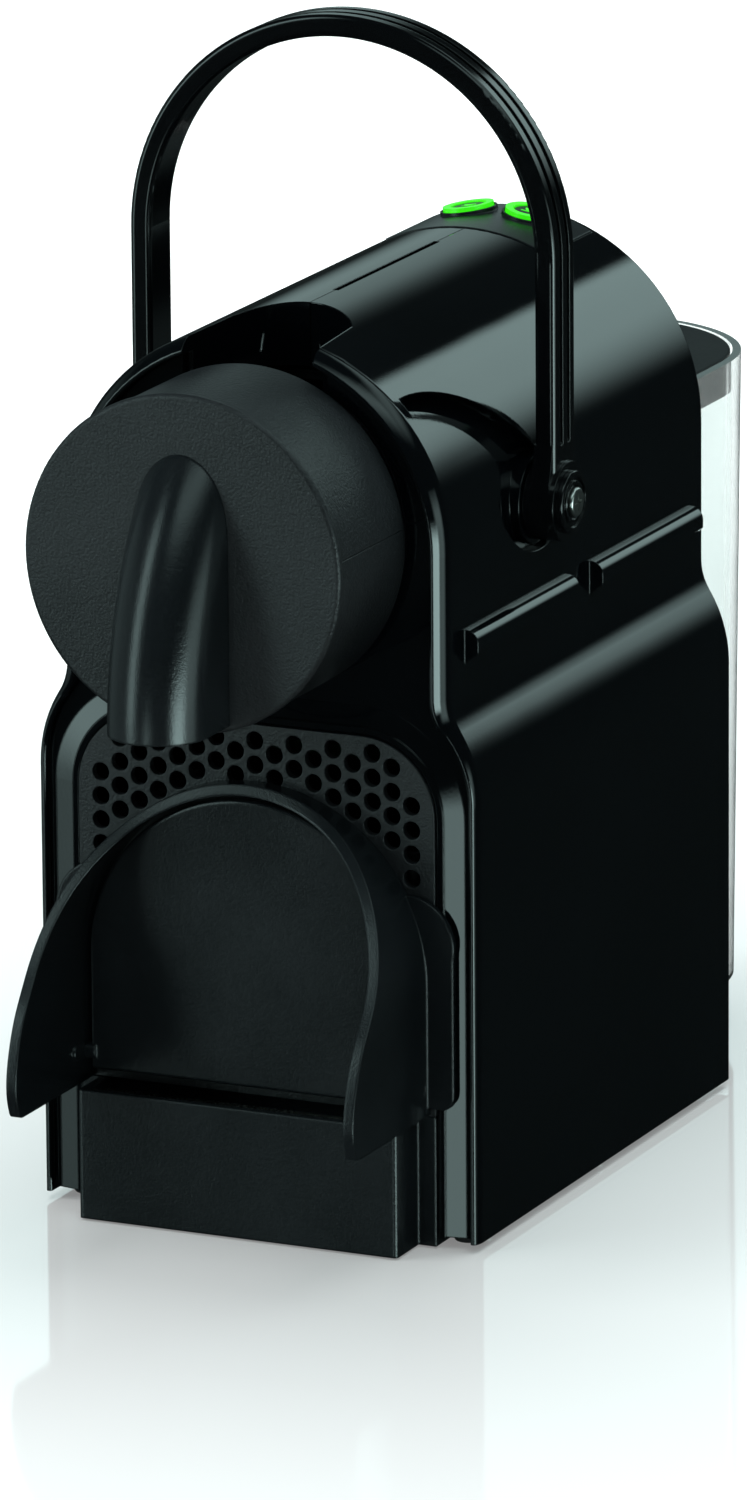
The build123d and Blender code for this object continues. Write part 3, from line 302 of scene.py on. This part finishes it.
def area(name, azimuth, elevation, distance, size, power):
    """Square light aimed at the machine's middle, from a compass direction (0 behind, 90 at +X)."""
    light = bpy.data.lights.new(name, "AREA")
    light.shape = "SQUARE"
    light.size = size
    light.energy = power
    obj = bpy.data.objects.new(name, light)
    bpy.context.scene.collection.objects.link(obj)
    a, e = math.radians(azimuth), math.radians(elevation)
    way = Vector((math.sin(a) * math.cos(e), math.cos(a) * math.cos(e), math.sin(e)))
    obj.location = AIM + way * distance
    obj.rotation_mode = "QUATERNION"
    obj.rotation_quaternion = way.to_track_quat("Z", "Y")
    obj.visible_glossy = False


def floor_paint():
    """Pale lacquered table: matt white with a clear sheen that fades with distance from the machine."""
    b = Build("floor_paint", Roughness=0.7)
    tree = b.tree
    tree.nodes.remove(b.shader)
    cloud = b.noise(2.0, 3.0)
    matt = b.add("ShaderNodeBsdfDiffuse")
    b.link(b.tint(cloud, ((0.2, (0.90, 0.92, 0.92)), (0.8, (0.92, 0.94, 0.94)))), matt.inputs["Color"])
    sheen = b.add("ShaderNodeBsdfGlossy")
    b.link(b.span(cloud, 0.2, 0.8, 0.05, 0.07), sheen.inputs["Roughness"])
    size = b.add("ShaderNodeVectorMath", operation="ABSOLUTE")
    b.link(b.place, size.inputs[0])
    beyond = b.add("ShaderNodeVectorMath", operation="SUBTRACT")
    b.link(size.outputs["Vector"], beyond.inputs[0])
    beyond.inputs[1].default_value = FOOTPRINT
    outside = b.add("ShaderNodeVectorMath", operation="MAXIMUM")
    b.link(beyond.outputs["Vector"], outside.inputs[0])
    outside.inputs[1].default_value = (0.0, 0.0, 0.0)
    reach = b.add("ShaderNodeVectorMath", operation="LENGTH")
    b.link(outside.outputs["Vector"], reach.inputs[0])
    share = b.span(reach.outputs["Value"], 0.0, SHEEN_REACH, SHEEN_SHARE, 0.0)
    glow = b.add("ShaderNodeEmission", Strength=FLOOR_GLOW)
    lit = b.add("ShaderNodeAddShader")
    b.link(matt.outputs[0], lit.inputs[0])
    b.link(glow.outputs[0], lit.inputs[1])
    mix = b.add("ShaderNodeMixShader")
    b.link(share, mix.inputs["Fac"])
    b.link(lit.outputs[0], mix.inputs[1])
    b.link(sheen.outputs[0], mix.inputs[2])
    b.link(mix.outputs[0], tree.nodes["Material Output"].inputs["Surface"])
    return b.material


floor_mesh = bpy.data.meshes.new("floor")
corners = [(x * FLOOR_HALF, y * FLOOR_HALF, 0) for x, y in ((-1, -1), (1, -1), (1, 1), (-1, 1))]
floor_mesh.from_pydata(corners, [], [(0, 1, 2, 3)])
floor = bpy.data.objects.new("floor", floor_mesh)
bpy.context.scene.collection.objects.link(floor)
floor_mesh.materials.append(floor_paint())
floor.visible_glossy = False

# Soft boxes round the machine, drawn on the sky by compass direction in degrees: azimuth from, to,
# edge softness, elevation from, to, edge softness, strength.
SOFT_BOXES = (
    (8, 27, 2, 10, 32, 8, 1.9),
    (-34, -16, 6, 3, 24, 6, 0.52),
    (72, 104, 8, -18, 9, 6, 1.6),
    (100, 127, 5, -24, -4, 5, 8.0),
    (-122, -66, 10, -18, 18, 8, 0.2),
    (-147, -133, 5, -14, 42, 8, 3.6),
    (-142, -126, 4, -22, -8, 4, 0.6),
    (177, 189, 3, -20, -10, 3, 3.2),
    (-183, -171, 3, -20, -10, 3, 3.2),
    (2, 88, 14, 38, 60, 8, 1.1),
    (92, 176, 14, 42, 62, 10, 1.5),
)


def sky():
    """Dark sky with the soft boxes on it."""
    world = bpy.data.worlds.new("studio")
    bpy.context.scene.world = world
    world.use_nodes = True
    tree = world.node_tree

    def node(kind, sources=(), **values):
        made = tree.nodes.new(kind)
        for key, value in values.items():
            setattr(made, key, value)
        for index, source in enumerate(sources):
            if hasattr(source, "links"):
                tree.links.new(source, made.inputs[index])
            else:
                made.inputs[index].default_value = source
        return made

    def maths(operation, *sources):
        return node("ShaderNodeMath", sources, operation=operation).outputs[0]

    def ramp(value, low, high):
        sources = (value, low, high, 0.0, 1.0)
        return node("ShaderNodeMapRange", sources, interpolation_type="SMOOTHSTEP").outputs["Result"]

    way = node("ShaderNodeTexCoord").outputs["Generated"]
    parts = node("ShaderNodeSeparateXYZ", (way,))
    azimuth = maths("MULTIPLY", maths("ARCTAN2", parts.outputs[0], parts.outputs[1]), math.degrees(1))
    elevation = maths("MULTIPLY", maths("ARCSINE", parts.outputs[2]), math.degrees(1))
    total = SKY_BASE
    for a_low, a_high, a_soft, e_low, e_high, e_soft, strength in SOFT_BOXES:
        a_in = ramp(azimuth, a_low - a_soft, a_low + a_soft)
        a_out = ramp(azimuth, a_high + a_soft, a_high - a_soft)
        e_in = ramp(elevation, e_low - e_soft, e_low + e_soft)
        e_out = ramp(elevation, e_high + e_soft, e_high - e_soft)
        box = maths("MULTIPLY", maths("MULTIPLY", a_in, a_out), maths("MULTIPLY", e_in, e_out))
        total = maths("MULTIPLY_ADD", box, strength, total)
    shade = tree.nodes["Background"]
    shade.inputs["Color"].default_value = SKY_TINT
    tree.links.new(total, shade.inputs["Strength"])


sky()
area("overhead", 0, 88, 2.2, 2.4, 58)
area("fill_front", 160, 35, 2.5, 2.0, 8)
area("key_left", -125, 30, 2.2, 1.0, 16)

# ---------------------------------------------------------------- camera
TURN, TILT, ROLL = math.radians(24.753), math.radians(14.837), math.radians(-0.418)
SPOT = Vector((1.18416, -2.58572, 0.85325))

camera_data = bpy.data.cameras.new("camera")
camera_data.sensor_width = 36.0
camera_data.lens = 283.01
camera_data.clip_start = 0.1
camera_data.clip_end = 60.0
camera = bpy.data.objects.new("camera", camera_data)
bpy.context.scene.collection.objects.link(camera)
back = Vector((math.sin(TURN) * math.cos(TILT), -math.cos(TURN) * math.cos(TILT), math.sin(TILT)))
right = Vector((math.cos(TURN), math.sin(TURN), 0.0))
up = back.cross(right)
right, up = right * math.cos(ROLL) + up * math.sin(ROLL), up * math.cos(ROLL) - right * math.sin(ROLL)
camera.matrix_world = Matrix(
    (
        (right.x, up.x, back.x, SPOT.x),
        (right.y, up.y, back.y, SPOT.y),
        (right.z, up.z, back.z, SPOT.z),
        (0, 0, 0, 1),
    )
)
bpy.context.scene.camera = camera
bpy.context.scene.view_settings.view_transform = "Standard"
